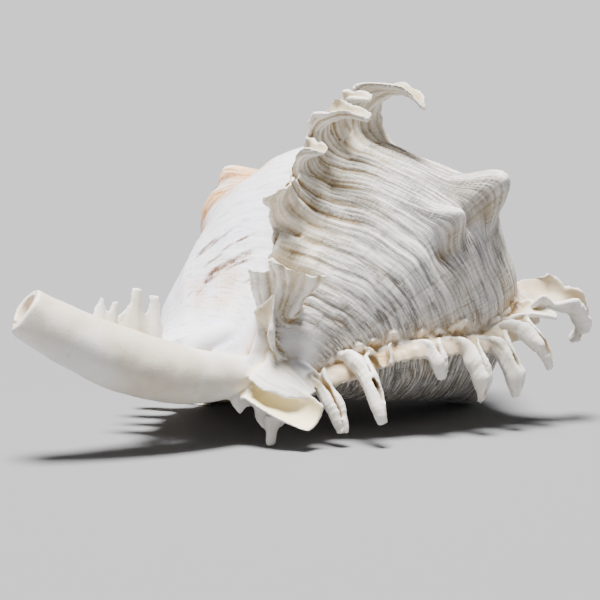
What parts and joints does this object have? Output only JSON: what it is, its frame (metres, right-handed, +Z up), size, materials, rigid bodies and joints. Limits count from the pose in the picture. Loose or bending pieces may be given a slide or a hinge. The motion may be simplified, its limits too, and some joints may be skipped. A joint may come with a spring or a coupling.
{
  "type": "ramose murex shell",
  "caption": "Large spiny sea shell lying mouth down, with curled frond-like spines along its ribs, rounded knobs and a long upturned canal.",
  "frame": {"origin": "on the surface that the shell rests on, under the middle of its outline seen from above", "axes": "+Z up; -X towards the end of the canal, +X towards the shoulder spines, -Y towards the side seen in the picture"},
  "size_m": [0.1839, 0.1563, 0.1117],
  "materials": {
    "shell": "matte chalky shell, satin inside the mouth"
  },
  "bodies": {
    "root": {"shell": "shell"}
  },
  "joints": []
}
